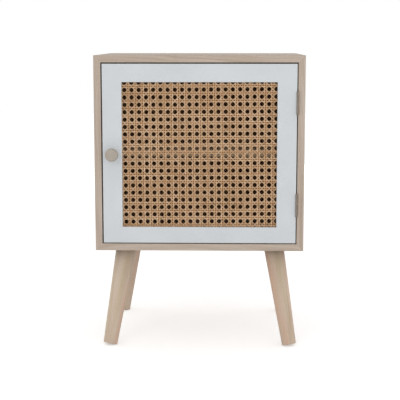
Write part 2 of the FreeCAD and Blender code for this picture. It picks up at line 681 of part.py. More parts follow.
def add_hinge_leaf(label, hinge, side):
    """Half a butt hinge: side is +1 for the leaf on the box and -1 for the leaf on the door."""
    body = new_body(label, HINGE_X, f"{BOX_Y} - {KNUCKLE_RADIUS}", f"floor_clearance + {HINGE_Z[hinge]}")
    inner, outer = f"{side} * hinge_leaf_gap / 2", f"{side} * {HINGE_GAP} / 2"
    clear = f"({KNUCKLE_RADIUS} + hinge_knuckle_gap)"
    length = "hinge_length" if side > 0 else KNUCKLE_LENGTH
    knuckle = new_sketch(body, "XY_Plane", "knuckle")
    draw_circles(knuckle, MIDDLE, "hinge_knuckle_diameter")
    pad(body, knuckle, length, towards=0)
    web = new_sketch(body, "XY_Plane", "web")
    draw_rectangle(web, inner, outer, "0", f"{clear} + hinge_leaf_thickness")
    pad(body, web, length, towards=0)
    if side > 0:
        notch = new_sketch(body, "XY_Plane", "notch")
        draw_rectangle(notch, "-hinge_knuckle_diameter", "hinge_knuckle_diameter",
                       "-hinge_knuckle_diameter", clear)
        pocket(body, notch, f"{KNUCKLE_LENGTH} + 2 * hinge_knuckle_gap", towards=0)
    leaf = new_sketch(body, "XY_Plane", "leaf")
    draw_rectangle(leaf, inner, outer, clear, f"{KNUCKLE_RADIUS} + hinge_leaf_width")
    pad(body, leaf, "hinge_length", towards=0)
    bore = new_sketch(body, "XY_Plane", "bore")
    draw_circles(bore, MIDDLE, "hinge_pin_diameter + 2 * hinge_pin_clearance")
    pocket(body, bore, "hinge_length", towards=0)
    centres = [(f"hinge_screw_depth + {KNUCKLE_RADIUS}", f"{step} * hinge_screw_spacing / 2")
               for step in (-1, 1)]
    for name, width, depth in (
            ("screw_seats", "hinge_screw_head_diameter + fit_clearance", "hinge_screw_head_height"),
            ("screw_holes", "hinge_screw_diameter + fit_clearance", "hinge_leaf_thickness")):
        holes = new_sketch(body, "YZ_Plane", name, inner)
        draw_hexagons(holes, centres, width)
        pocket(body, holes, depth, towards=side)


def add_hinges():
    for hinge, z in HINGE_Z.items():
        add_hinge_leaf(f"{hinge}_hinge_frame_leaf", hinge, 1)
        add_hinge_leaf(f"{hinge}_hinge_door_leaf", hinge, -1)
        pin = new_body(f"{hinge}_hinge_pin", HINGE_X, f"{BOX_Y} - {KNUCKLE_RADIUS}",
                       f"floor_clearance + {z}")
        shank = new_sketch(pin, "XY_Plane", "shank")
        draw_circles(shank, MIDDLE, "hinge_pin_diameter")
        pad(pin, shank, "hinge_length + 2 * hinge_pin_end", towards=0)
    for label, side in (("hinge_frame_screws", 1), ("hinge_door_screws", -1)):
        body = box_body(label, solids=4)
        seat = f"{HINGE_X} + {side} * (hinge_leaf_gap / 2 + hinge_screw_head_height)"
        add_screws(body, "YZ_Plane", seat, hinge_screw_centres(), side, (
            "hinge_screw_diameter", "hinge_screw_length",
            "hinge_screw_head_diameter", "hinge_screw_head_height"))


# ---- the knob ----

def add_knob():
    place = (f"{DOOR_X} + {KNOB_X}", BOX_Y, f"floor_clearance + {OPENING_Z} + {KNOB_Z}")
    knob = new_body("knob", *place)
    profile = new_sketch(knob, "XY_Plane", "profile")
    draw_polygon(profile, (
        ("0", "0"), ("knob_neck_diameter / 2", "0"),
        ("knob_neck_diameter / 2", "-(knob_projection - knob_rim)"),
        ("knob_diameter / 2", "-(knob_projection - knob_rim)"),
        ("knob_diameter / 2", "-(knob_projection - knob_chamfer)"),
        ("knob_diameter / 2 - knob_chamfer", "-knob_projection"), ("0", "-knob_projection")))
    revolve(knob, profile)
    bore = new_sketch(knob, "XZ_Plane", "bore")
    draw_hexagons(bore, MIDDLE, "knob_screw_diameter + fit_clearance")
    pocket(knob, bore, "knob_screw_grip + fit_clearance", towards=-1)

    screw = new_body("knob_screw", *place)
    add_screws(screw, "XZ_Plane", "door_thickness", MIDDLE, -1, (
        "knob_screw_diameter", "knob_screw_grip + door_thickness",
        "knob_screw_head_diameter", "knob_screw_head_height"))


# ---- the catch ----

CATCH_SCREW = ("catch_screw_diameter", "catch_screw_length",
               "catch_screw_head_diameter", "catch_screw_head_height")


def add_catch():
    left, right = f"({CATCH_X} - catch_width / 2)", f"({CATCH_X} + catch_width / 2)"
    ear_z, low_z = f"{INNER_TOP} - catch_ear_thickness", f"{INNER_TOP} - catch_height"
    housing = box_body("catch_housing")
    section = new_sketch(housing, "XZ_Plane", "section", CATCH_Y)
    draw_polygon(section, (
        (f"{left} - catch_ear", INNER_TOP), (f"{left} - catch_ear", ear_z), (left, ear_z), (left, low_z),
        (right, low_z), (right, ear_z), (f"{right} + catch_ear", ear_z), (f"{right} + catch_ear", INNER_TOP)))
    pad(housing, section, "catch_depth")
    magnet_z = f"({INNER_TOP} - catch_drop)"
    stack = "(magnet_height / 2 + pole_thickness)"
    slot = new_sketch(housing, "XZ_Plane", "slot", CATCH_Y)
    draw_rectangle(slot, f"{CATCH_X} - catch_slot_width / 2", f"{CATCH_X} + catch_slot_width / 2",
                   f"{magnet_z} - {stack} - fit_clearance", f"{magnet_z} + {stack} + fit_clearance")
    pocket(housing, slot, "catch_slot_depth")
    holes = new_sketch(housing, "XY_Plane", "holes", INNER_TOP)
    draw_hexagons(holes, catch_screw_centres(), "catch_screw_diameter + fit_clearance")
    pocket(housing, holes, "catch_ear_thickness", towards=-1)

    magnet = box_body("catch_magnet")
    magnet_left, magnet_right = f"{CATCH_X} - magnet_width / 2", f"{CATCH_X} + magnet_width / 2"
    face = new_sketch(magnet, "XZ_Plane", "face", f"{CATCH_Y} + catch_slot_depth - magnet_depth")
    draw_rectangle(face, magnet_left, magnet_right,
                   f"{magnet_z} - magnet_height / 2", f"{magnet_z} + magnet_height / 2")
    pad(magnet, face, "magnet_depth")

    poles = box_body("catch_pole_plates", solids=2)
    tips = new_sketch(poles, "XZ_Plane", "tips", f"{CATCH_Y} - pole_reach")
    for sz in ENDS.values():
        draw_rectangle(tips, magnet_left, magnet_right,
                       f"{magnet_z} + {sz} * magnet_height / 2", f"{magnet_z} + {sz} * {stack}")
    pad(poles, tips, "pole_reach + catch_slot_depth")

    screws = box_body("catch_screws", solids=2)
    add_screws(screws, "XY_Plane", ear_z, catch_screw_centres(), 1, CATCH_SCREW)


def add_strike():
    """The plate on the door that the catch's magnet holds."""
    strike = door_body("strike_plate")
    outline = new_sketch(strike, "XZ_Plane", "outline", "door_thickness")
    middle = f"({CATCH_X} - {DOOR_X})"
    draw_rectangle(outline, f"{middle} - strike_width / 2", f"{middle} + strike_width / 2",
                   f"{STRIKE_Z} - strike_height / 2", f"{STRIKE_Z} + strike_height / 2")
    pad(strike, outline, "strike_thickness")
    holes = new_sketch(strike, "XZ_Plane", "holes", "door_thickness")
    draw_hexagons(holes, strike_screw_centres(), "catch_screw_diameter + fit_clearance")
    pocket(strike, holes, "strike_thickness")
    screws = door_body("strike_screws", solids=2)
    seat = "door_thickness + strike_thickness"
    add_screws(screws, "XZ_Plane", seat, strike_screw_centres(), -1, CATCH_SCREW)


# ---- the whole table ----

add_top_panel()
add_bottom_panel()
for side_name in CORNERS:
    add_side_panel(side_name)
add_splines()
add_back()
add_shelf()
add_legs()
add_leg_bolts()
add_leg_plates()
add_leg_plate_screws()
add_door_frame()
add_cane()
add_battens()
add_hinges()
add_knob()
add_catch()
add_strike()
doc.recompute()

for item in doc.Objects:
    if "Invalid" in item.State or "Error" in item.State:
        raise ValueError(f"{item.Label} did not compute: {item.State}")

os.makedirs("parts", exist_ok=True)
for item in doc.findObjects("PartDesign::Body"):
    if item.Shape.isNull() or not item.Shape.isValid() or not item.Shape.Solids:
        raise ValueError(f"{item.Label} has no valid solid")
    item.Shape.exportStep(f"parts/{item.Label}.step")
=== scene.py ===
import math

import bpy
import numpy as np
from mathutils import Matrix, Vector


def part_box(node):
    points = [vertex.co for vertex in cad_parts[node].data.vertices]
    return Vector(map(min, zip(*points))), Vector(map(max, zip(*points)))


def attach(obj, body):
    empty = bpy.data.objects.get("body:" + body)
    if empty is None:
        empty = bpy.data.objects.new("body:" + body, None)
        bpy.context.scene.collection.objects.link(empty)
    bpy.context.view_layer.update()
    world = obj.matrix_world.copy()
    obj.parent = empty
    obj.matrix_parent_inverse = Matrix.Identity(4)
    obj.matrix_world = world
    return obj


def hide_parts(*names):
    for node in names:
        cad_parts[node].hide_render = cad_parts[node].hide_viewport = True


# The looks of the side table: a woven cane panel, turned legs and knob, screws and nails, the
# materials of every piece, a studio floor with soft light, and the camera. Metres throughout.

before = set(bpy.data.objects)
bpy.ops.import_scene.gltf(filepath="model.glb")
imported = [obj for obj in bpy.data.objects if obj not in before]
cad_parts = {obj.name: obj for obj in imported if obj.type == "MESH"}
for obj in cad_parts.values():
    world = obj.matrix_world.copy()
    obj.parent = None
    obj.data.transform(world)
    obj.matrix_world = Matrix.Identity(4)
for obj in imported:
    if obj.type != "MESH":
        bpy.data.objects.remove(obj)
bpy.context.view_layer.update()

MM = 0.001
SEED = 20
WHITE, BLACK = (1, 1, 1, 1), (0, 0, 0, 1)

# The woven cane. "frame_pair" is the width of the frame's plain pairs, "lift" and "turn" are how
# far the whole weave is raised and turned in its frame, and the steps are points of a strand per
# pitch.
CANE = {
    "width": 2.28 * MM, "diagonal_width": 2.15 * MM, "pair_gap": 0.96 * MM, "thickness": 0.4 * MM,
    "frame_pair": 5.7 * MM, "pitch_across": 12.35 * MM, "pitch_up": 12.63 * MM, "lift": 0.6 * MM,
    "turn": math.radians(0.42), "weave": 0.22 * MM, "diagonal_weave": 0.45 * MM,
    "wander": 0.2 * MM, "shared_wander": 0.75, "waves": 4, "wave_sizes": (0.3, 1.0),
    "wave_rates": (18, 90), "width_spread": (0.94, 1.05), "run_offsets": (0, 9), "steps": 8,
    "diagonal_steps": 10,
}
# A strand's section, flat behind, in shares of its half width and of its thickness.
STRAND_SECTION = ((-1.0, 0.0), (-0.86, 0.62), (-0.4, 0.96), (0.4, 0.96), (0.86, 0.62), (1.0, 0.0))
LEG = {"top": 35 * MM, "foot": 25 * MM, "splay": math.radians(12.9), "rounding": 1.6 * MM,
       "top_edge": 0.4 * MM, "plate": 60 * MM, "turns": 72}
KNOB = {"diameter": 22 * MM, "neck": 12 * MM, "projection": 20 * MM, "rim": 9 * MM,
        "soft": 3.2 * MM, "back_edge": 1.6 * MM, "crown": 0.02 * MM, "turns": 72}
# How much wider the knob's neck is at each share of its length.
NECK_CURVE = ((0, 0), (0, 0.35), (0.6 * MM, 0.6), (2.4 * MM, 0.92))
NAIL = {"head": 3.2 * MM, "height": 0.6 * MM, "from_corner": 54 * MM, "inset": 3 * MM}
BRAD = {"head": 1.6 * MM, "shoulder": 0.12 * MM, "height": 0.15 * MM, "from_corner": 40 * MM}

# Each node of loose screws: its body, the side its heads face, a head's width and height, the
# shank's width, whether the head is domed, and the slot.
SCREWS = {
    "leg_plate_screws": ("table", (0, 0, -1), (7 * MM, 2.2 * MM), 3.5 * MM, True, "zinc_steel"),
    "hinge_frame_screws": ("table", (-1, 0, 0), (4 * MM, 0.4 * MM), 2.4 * MM, False, "hinge_steel"),
    "hinge_door_screws": ("door", (1, 0, 0), (4 * MM, 0.4 * MM), 2.4 * MM, False, "hinge_steel"),
    "catch_screws": ("table", (0, 0, -1), (5.6 * MM, 1.8 * MM), 3 * MM, True, "zinc_steel"),
    "strike_screws": ("door", (0, 1, 0), (5.6 * MM, 1.8 * MM), 3 * MM, True, "zinc_steel"),
    "knob_screw": ("door", (0, 1, 0), (8 * MM, 2.4 * MM), 4 * MM, True, "zinc_steel"),
}
# The cross recess in a screw's head: its half width and reach in shares of the head's radius, its
# floor at the middle and its rise outwards in shares of the head's height.
RECESS = {"half_width": 0.11, "reach": 0.56, "floor": 0.35, "rise": 0.4}
# The rings of points on a head, in shares of its radius, and the points in each.
HEAD_RINGS = (0.12, 0.24, 0.36, 0.48, 0.6, 0.74, 0.88, 1.0)
HEAD_TURNS = 32

# Boards with an arched grain, and how their rings lie: the width of a leaf of veneer, where the
# first one starts and how far each board shifts it, the heart's depth behind the face, its lean,
# how far the rings wander, and what keeps one board's grain unlike the next one's.
BOARDS = ("top_panel", "bottom_panel", "left_side_panel", "right_side_panel", "shelf")
VENEER = {"leaf": 80 * MM, "first_leaf": 40 * MM, "next_board": 21 * MM, "heart": 20 * MM,
          "lean": 0.055, "warp": 34 * MM, "board_shift": (1.7, 2.3, 3.1), "ring_shift": 1.3}
# Features per metre along the grain and across it.
GRAIN = {"bands": (1.6, 55), "streaks": (7, 520), "pores": (110, 2600), "warp": (2.8, 12)}
LEG_GRAIN = {"bands": (5.5, 95), "hues": (4, 60), "streaks": (9, 620), "pores": (130, 2400)}
LEG_GRAIN_SHIFT = (2.48, 1.36, 0)
SCRATCHES = (60, 3200)
# Features per metre across the rings and along the grain.
RINGS = {"bands": (150, 1.6, 1), "streaks": (700, 7, 1)}
# Features per metre along a strand, per half width across it, and from tone to tone.
STRAND_GRAIN = {"fibres": (45, 5, 9), "blotches": (26, 0.35, 9), "joints": (12, 0, 41)}
TONES_APART = 3.7

FLOOR = {"half": 6.0, "dark": 0.93, "pale": 0.95, "glow": 0.35}
SKY_LEVEL = 0.78
# Each lamp: its name, place, target, width and power in watts.
LAMPS = (
    ("key", (-1.0, -2.4, 1.3), (0, 0, 0.3), 1.4, 8),
    ("fill", (1.0, -2.4, 0.65), (0, 0, 0.2), 1.2, 5.5),
    ("left", (-2.6, 0.9, 0.42), (0, 0, 0.3), 0.8, 5),
    ("right", (2.6, 0.9, 0.42), (0, 0, 0.3), 0.8, 5),
    ("rear", (0.4, 2.7, 0.42), (0, 0, 0.3), 0.8, 7),
)
CAMERA = {"place": (0.047, -2.0107, 0.5368), "down": math.radians(8.326),
          "turn": math.radians(1.4), "lens": 98.82, "sensor": 36}


# ---------------------------------------------------------------- shader nodes

def tint(red, green, blue):
    """A colour from its 0-255 display values."""
    def linear(level):
        share = level / 255
        return share / 12.92 if share <= 0.04045 else ((share + 0.055) / 1.055) ** 2.4
    return (linear(red), linear(green), linear(blue), 1.0)


def grey(share):
    return (share, share, share, 1)


def add(tree, kind, inputs=None, **settings):
    """A shader node; each input is a number, a colour or another node's socket."""
    node = tree.nodes.new("ShaderNode" + kind)
    for name, setting in settings.items():
        setattr(node, name, setting)
    for name, given in (inputs or {}).items():
        put(tree, node.inputs[name], given)
    return node


def put(tree, socket, given):
    """Links a socket to another, or sets its value."""
    if isinstance(given, bpy.types.NodeSocket):
        tree.links.new(given, socket)
    else:
        socket.default_value = given


def math_node(tree, operation, *given):
    return add(tree, "Math", dict(enumerate(given)), operation=operation).outputs[0]


def times(tree, first, second):
    return math_node(tree, "MULTIPLY", first, second)


def plus(tree, first, second):
    return math_node(tree, "ADD", first, second)


def weighted(tree, *terms):
    """The sum of sockets, each with its share."""
    total = None
    for socket, share in terms:
        part = times(tree, socket, share)
        total = part if total is None else plus(tree, total, part)
    return total


def vector_node(tree, operation, first, second):
    return add(tree, "VectorMath", {0: first, 1: second}, operation=operation)


def noise(tree, place, rates, detail=2.0, distortion=0.0):
    """Noise with so many features per metre along each axis."""
    place = vector_node(tree, "MULTIPLY", place, rates).outputs[0]
    return add(tree, "TexNoise", {"Vector": place, "Scale": 1.0, "Detail": detail,
                                  "Distortion": distortion}).outputs[0]


def ramp(tree, factor, *stops):
    """Colours at places from 0 to 1, in rising order."""
    node = add(tree, "ValToRGB", {0: factor})
    while len(node.color_ramp.elements) < len(stops):
        node.color_ramp.elements.new(0.5)
    for element, (place, colour) in zip(node.color_ramp.elements, stops):
        element.position = place
        element.color = colour
    return node.outputs[0]


def rising(tree, factor, none, full):
    return ramp(tree, factor, (none, BLACK), (full, WHITE))


def falling(tree, factor, full, none):
    return ramp(tree, factor, (full, WHITE), (none, BLACK))


def mixed(tree, factor, first, second, blend="MIX"):
    node = add(tree, "Mix", {0: factor}, data_type="RGBA", blend_type=blend)
    put(tree, node.inputs[6], first)
    put(tree, node.inputs[7], second)
    return node.outputs[2]


def bump(tree, height, depth):
    """A bump whose highest and lowest points are this far apart, in metres."""
    return add(tree, "Bump", {"Height": height, "Distance": depth, "Strength": 1.0}).outputs[0]


def new_surface(name):
    """A material with a bare Principled shader, and the object's own coordinates."""
    material = bpy.data.materials.new(name)
    material.use_nodes = True
    tree = material.node_tree
    tree.nodes.clear()
    shader = tree.nodes.new("ShaderNodeBsdfPrincipled")
    output = tree.nodes.new("ShaderNodeOutputMaterial")
    tree.links.new(shader.outputs[0], output.inputs[0])
    coordinates = tree.nodes.new("ShaderNodeTexCoord")
    return material, tree, shader, coordinates.outputs["Object"]


def finish_surface(tree, shader, colour, roughness, normal=None, metallic=0.0):
    put(tree, shader.inputs["Base Color"], colour)
    put(tree, shader.inputs["Roughness"], roughness)
    if normal is not None:
        put(tree, shader.inputs["Normal"], normal)
    shader.inputs["Metallic"].default_value = metallic


# ---------------------------------------------------------------- materials

def along(axis, few, many):
    """Features per metre on each axis: few along the grain and many across it."""
    return tuple(few if index == axis else many for index in range(3))


def pored(tree, place, rates, colour, share, pore):
    """The colour with short dark pores in it, and the pores themselves."""
    pores = falling(tree, noise(tree, place, rates, detail=1), 0.28, 0.4)
    return mixed(tree, times(tree, pores, share), colour, pore), pores


def ring_coordinates(tree, place, axis, board):
    """Distance from the heart and place along the grain of a board, and its shifted coordinates.

    The heart leans away from the face, so the rings make arches, and leaves of veneer are mirrored.
    """
    low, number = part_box(board)[0], BOARDS.index(board)
    own = vector_node(tree, "SUBTRACT", place, low).outputs[0]
    parts = add(tree, "SeparateXYZ", {0: own}).outputs
    through = 0 if axis == 2 else 2
    shift = tuple(step * number for step in VENEER["board_shift"])
    moved = vector_node(tree, "ADD", own, shift).outputs[0]
    warp = noise(tree, moved, along(axis, *GRAIN["warp"]), detail=2.5)
    across = plus(tree, parts[1], VENEER["next_board"] * number + VENEER["first_leaf"])
    across = plus(tree, across, times(tree, warp, VENEER["warp"]))
    leaf = math_node(tree, "PINGPONG", across, VENEER["leaf"])
    depth = plus(tree, times(tree, parts[axis], VENEER["lean"]), VENEER["heart"])
    depth = plus(tree, depth, parts[through])
    squares = plus(tree, times(tree, leaf, leaf), times(tree, depth, depth))
    radius = plus(tree, math_node(tree, "SQRT", squares), VENEER["ring_shift"] * number)
    return add(tree, "CombineXYZ", {0: radius, 1: parts[axis], 2: 0.0}).outputs[0], moved


def wood(name, axis, dark, middle, pale, pore, board=None):
    """Wood along one axis: broad bands, fine streaks and short pores, arched on a wide board."""
    material, tree, shader, place = new_surface(name)
    if board:
        rings, place = ring_coordinates(tree, place, axis, board)
        bands = noise(tree, rings, RINGS["bands"], distortion=0.2)
        streaks = noise(tree, rings, RINGS["streaks"], detail=3)
        grain = weighted(tree, (bands, 0.4), (streaks, 0.6))
    else:
        bands = noise(tree, place, along(axis, *GRAIN["bands"]), distortion=0.4)
        streaks = noise(tree, place, along(axis, *GRAIN["streaks"]), detail=3)
        grain = weighted(tree, (bands, 0.5), (streaks, 0.5))
    colour = ramp(tree, grain, (0.34, dark), (0.5, middle), (0.66, pale))
    colour, pores = pored(tree, place, along(axis, *GRAIN["pores"]), colour, 0.35, pore)
    relief = math_node(tree, "SUBTRACT", streaks, times(tree, pores, 0.5))
    finish_surface(tree, shader, colour, 0.7, bump(tree, relief, 0.12 * MM))
    return material


def leg_wood(name):
    """Turned wood whose grain follows each leaning leg, with pink and olive streaks."""
    material, tree, shader, place = new_surface(name)
    low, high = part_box("legs")
    parts = add(tree, "SeparateXYZ", {0: place}).outputs
    lean = math.tan(LEG["splay"]) * math.sqrt(0.5)
    straight = []
    for axis, middle in ((0, 0.0), (1, (low.y + high.y) / 2)):
        offset = math_node(tree, "SUBTRACT", parts[axis], middle)
        shift = times(tree, math_node(tree, "SIGN", offset), lean)
        straight.append(plus(tree, offset, times(tree, shift, parts[2])))
    local = add(tree, "CombineXYZ", {0: straight[0], 1: straight[1], 2: parts[2]}).outputs[0]
    local = vector_node(tree, "ADD", local, LEG_GRAIN_SHIFT).outputs[0]
    bands = noise(tree, local, along(2, *LEG_GRAIN["bands"]), detail=1.5, distortion=0.5)
    hues = noise(tree, local, along(2, *LEG_GRAIN["hues"]), detail=1)
    streaks = noise(tree, local, along(2, *LEG_GRAIN["streaks"]), detail=3)
    grain = weighted(tree, (bands, 0.6), (streaks, 0.4))
    colour = ramp(tree, grain, (0.33, tint(184, 160, 138)), (0.47, tint(199, 178, 157)),
                  (0.65, tint(208, 190, 172)))
    warm = times(tree, rising(tree, hues, 0.52, 0.66), 0.7)
    colour = mixed(tree, warm, colour, tint(206, 171, 147))
    olive = times(tree, falling(tree, hues, 0.32, 0.46), 0.55)
    colour = mixed(tree, olive, colour, tint(193, 176, 146))
    pore_rates = along(2, *LEG_GRAIN["pores"])
    colour, _ = pored(tree, local, pore_rates, colour, 0.3, tint(140, 118, 96))
    finish_surface(tree, shader, colour, 0.55, bump(tree, streaks, 0.1 * MM))
    return material


def paint(name, colour, roughness):
    """Sprayed paint: a faint unevenness in tone and the fine ripple of a sprayed coat."""
    material, tree, shader, place = new_surface(name)
    patches = noise(tree, place, (14, 14, 14), detail=3)
    ripple = noise(tree, place, (420, 420, 420))
    shade = ramp(tree, patches, (0.3, (0.965, 0.965, 0.97, 1)), (0.7, (1.03, 1.03, 1.025, 1)))
    finish_surface(tree, shader, mixed(tree, 1.0, colour, shade, "MULTIPLY"), roughness,
                   bump(tree, ripple, 0.03 * MM))
    return material


def metal(name, colour, roughness):
    """Drawn or stamped metal with fine upright scratches and uneven polish."""
    material, tree, shader, place = new_surface(name)
    scratches = noise(tree, place, along(2, *SCRATCHES))
    stains = noise(tree, place, (160, 160, 160), detail=3)
    shade = ramp(tree, stains, (0.3, grey(0.82)), (0.7, grey(1.08)))
    rough = plus(tree, times(tree, scratches, 0.25), roughness - 0.12)
    finish_surface(tree, shader, mixed(tree, 1.0, colour, shade, "MULTIPLY"), rough,
                   bump(tree, scratches, 0.02 * MM), metallic=1.0)
    return material


def speckled(name, dark, pale, roughness, size):
    """A mottled material such as fibreboard, ferrite or moulded plastic, with grit of a size."""
    material, tree, shader, place = new_surface(name)
    grit = noise(tree, place, (1 / size,) * 3, detail=4)
    fibres = noise(tree, place, (0.12 / size,) * 3, detail=4, distortion=2.5)
    clouds = noise(tree, place, (9, 9, 9), detail=4)
    blend = weighted(tree, (grit, 0.45), (fibres, 0.4), (clouds, 0.15))
    finish_surface(tree, shader, ramp(tree, blend, (0.38, dark), (0.62, pale)), roughness,
                   bump(tree, grit, size * 0.08))
    return material


def painted_gap_shade(tree, place, layout):
    """Painted shade where the gaps of the pairs lie: 1 along their middle, falling to 0 a
    millimetre from it.
    """
    cosine, sine = math.cos(CANE["turn"]), math.sin(CANE["turn"])
    middle, first = layout["middle"], (layout["first_x"], layout["first_z"])
    shades = []
    for axis, direction, pitch in ((0, (cosine, 0, sine), CANE["pitch_across"]),
                                   (1, (-sine, 0, cosine), CANE["pitch_up"])):
        offset = middle[axis] - first[axis] - middle[0] * direction[0] - middle[1] * direction[2]
        run = vector_node(tree, "DOT_PRODUCT", place, direction).outputs[1]
        from_gap = math_node(tree, "PINGPONG", plus(tree, run, offset), pitch / 2)
        shades.append(falling(tree, math_node(tree, "DIVIDE", from_gap, 2 * MM), 0.2, 0.5))
    return math_node(tree, "MAXIMUM", *shades)


def cane(name, dark, middle, pale, edge_shade_share, layout=None):
    """Split rattan: fibres along each strand, a tone of its own, darker joints, and painted shade
    along its rims.

    A layout adds painted shade to the strands where the gaps of the pairs cross them.
    """
    material, tree, shader, place = new_surface(name)
    run = add(tree, "UVMap", uv_map="run").outputs[0]
    tone = add(tree, "Attribute", attribute_name="tone").outputs[2]
    parts = add(tree, "SeparateXYZ", {0: run}).outputs
    apart = times(tree, tone, TONES_APART)
    own = add(tree, "CombineXYZ", {0: parts[0], 1: parts[1], 2: apart}).outputs[0]
    fibres = noise(tree, own, STRAND_GRAIN["fibres"], detail=3)
    blotches = noise(tree, own, STRAND_GRAIN["blotches"], detail=3)
    joints = noise(tree, own, STRAND_GRAIN["joints"], detail=0)
    grain = weighted(tree, (fibres, 0.35), (blotches, 0.4), (tone, 0.25))
    colour = ramp(tree, grain, (0.28, dark), (0.5, middle), (0.74, pale))
    joint = times(tree, rising(tree, joints, 0.70, 0.76), 0.45)
    colour = mixed(tree, joint, colour, tint(120, 82, 48))
    # Painted shade along each strand's rims, where it dips beside and under its neighbours.
    rim = times(tree, rising(tree, math_node(tree, "ABSOLUTE", parts[1]), 0.6, 0.92), edge_shade_share)
    colour = mixed(tree, rim, colour, tint(116, 74, 38))
    if layout:
        # Painted shade: the strands darken where the gaps of the pairs cross them, in place of the
        # shade in those gaps.
        shade = times(tree, painted_gap_shade(tree, place, layout), 0.42)
        colour = mixed(tree, shade, colour, tint(134, 88, 40))
    finish_surface(tree, shader, colour, 0.48, bump(tree, fibres, 0.05 * MM))
    return material


# ---------------------------------------------------------------- meshes

def new_piece(name, points, faces, material, body, slot):
    """A smooth mesh in the frame's coordinates that moves with a body."""
    mesh = bpy.data.meshes.new(name)
    mesh.from_pydata([tuple(point) for point in points], [], [tuple(face) for face in faces])
    mesh.polygons.foreach_set("use_smooth", [True] * len(mesh.polygons))
    mesh.materials.append(material)
    mesh.update()
    piece = bpy.data.objects.new(name, mesh)
    bpy.context.scene.collection.objects.link(piece)
    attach(piece, body)
    return piece


def circle(radius, height, turns):
    """Points round Z at a height."""
    angles = [math.tau * step / turns for step in range(turns)]
    return [(radius * math.cos(angle), radius * math.sin(angle), height) for angle in angles]


def lathe(profile, turns):
    """Points and faces of a profile of (radius, height) turned about Z; a zero radius closes it."""
    points, faces, rings = [], [], []
    for radius, height in profile:
        if radius == 0:
            rings.append([len(points)] * turns)
            points.append((0.0, 0.0, height))
        else:
            rings.append(list(range(len(points), len(points) + turns)))
            points += circle(radius, height, turns)
    for lower, upper in zip(rings, rings[1:]):
        for step in range(turns):
            following = (step + 1) % turns
            corners = (lower[step], lower[following], upper[following], upper[step])
            faces.append(tuple(dict.fromkeys(corners)))
    return points, faces


def arc(centre, radius, start, end, steps):
    """Points of an arc in degrees, about (radius, height)."""
    angles = [math.radians(start + (end - start) * step / steps) for step in range(steps + 1)]
    return [(centre[0] + radius * math.cos(angle), centre[1] + radius * math.sin(angle))
            for angle in angles]


def placed(shape, matrix):
    """A shape's points moved by a matrix, and its faces."""
    points, faces = shape
    return [matrix @ Vector(point) for point in points], faces


def joined(shapes):
    """One list of points and one of faces from several."""
    points, faces = [], []
    for own_points, own_faces in shapes:
        faces += [tuple(index + len(points) for index in face) for face in own_faces]
        points += own_points
    return points, faces


def facing(direction, place):
    """The matrix that puts +Z along a direction at a place."""
    turned = Vector(direction).to_track_quat("Z", "Y").to_matrix().to_4x4()
    return Matrix.Translation(place) @ turned


# ---------------------------------------------------------------- the cane panel

def weave_height(distance):
    """-1 and 1 over the two strands of a crossing pair, easing to 0 between the pairs."""
    strand = (CANE["width"] + CANE["pair_gap"]) / 2
    inside = np.sin(np.clip(distance / strand, -1, 1) * math.pi / 2)
    rest = (np.abs(distance) - strand) / (CANE["pitch_up"] / 2 - strand)
    return inside * np.cos(np.clip(rest, 0, 1) * math.pi / 2)


def off_centre(place, first, pitch):
    """Distance from the nearest crossing pair."""
    return (place - first + pitch / 2) % pitch - pitch / 2


def wander(rng, length):
    """A smooth sideways drift along a strand, from -1 to 1."""
    ranges = (CANE["wave_sizes"], CANE["wave_rates"], (0, math.tau))
    waves = [[rng.uniform(*limits) for limits in ranges] for _ in range(CANE["waves"])]
    total = sum(size for size, rate, phase in waves)
    return sum(size / total * np.sin(rate * length + phase) for size, rate, phase in waves)


def strand_shape(path, sideways, half_width, height):
    """Points and run coordinates of one domed ribbon about a path in the panel's plane."""
    steps = np.concatenate([[0], np.cumsum(np.linalg.norm(np.diff(path, axis=0), axis=1))])
    points = np.empty((len(path), len(STRAND_SECTION), 3))
    run = np.empty((len(path), len(STRAND_SECTION), 2))
    for index, (across, up) in enumerate(STRAND_SECTION):
        offset = across * half_width
        points[:, index, 0] = path[:, 0] + offset * sideways[0]
        points[:, index, 2] = path[:, 1] + offset * sideways[1]
        points[:, index, 1] = -(height + (up - 0.5) * CANE["thickness"])
        run[:, index, 0] = steps
        run[:, index, 1] = across
    return points.reshape(-1, 3), run.reshape(-1, 2)


def strand_faces(base, rings):
    """Faces round and at both ends of a ribbon whose first point has this number."""
    size = len(STRAND_SECTION)
    faces = []
    for here in range(base, base + (rings - 1) * size, size):
        faces += [(here + k, here + (k + 1) % size, here + size + (k + 1) % size, here + size + k)
                  for k in range(size)]
    last = base + (rings - 1) * size
    return faces + [tuple(range(base + size - 1, base - 1, -1)), tuple(range(last, last + size))]


def cane_layout():
    """The weave's grid and edges, taken from the frame's own strands, with the grid raised."""
    upright_low, upright_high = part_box("cane_upright_strands")
    level_low, level_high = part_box("cane_level_strands")
    pair_half = CANE["frame_pair"] / 2
    margin = CANE["width"] / 2 + CANE["wander"]
    return {
        "first_x": upright_low.x + pair_half,
        "first_z": level_low.z + pair_half + CANE["lift"],
        "x": (level_low.x + margin, level_high.x - margin),
        "z": (upright_low.z + margin, upright_high.z - margin),
        "middle": ((level_low.x + level_high.x) / 2, (upright_low.z + upright_high.z) / 2),
        "y": (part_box("cane_rising_strands")[0].y + level_high.y) / 2,
    }


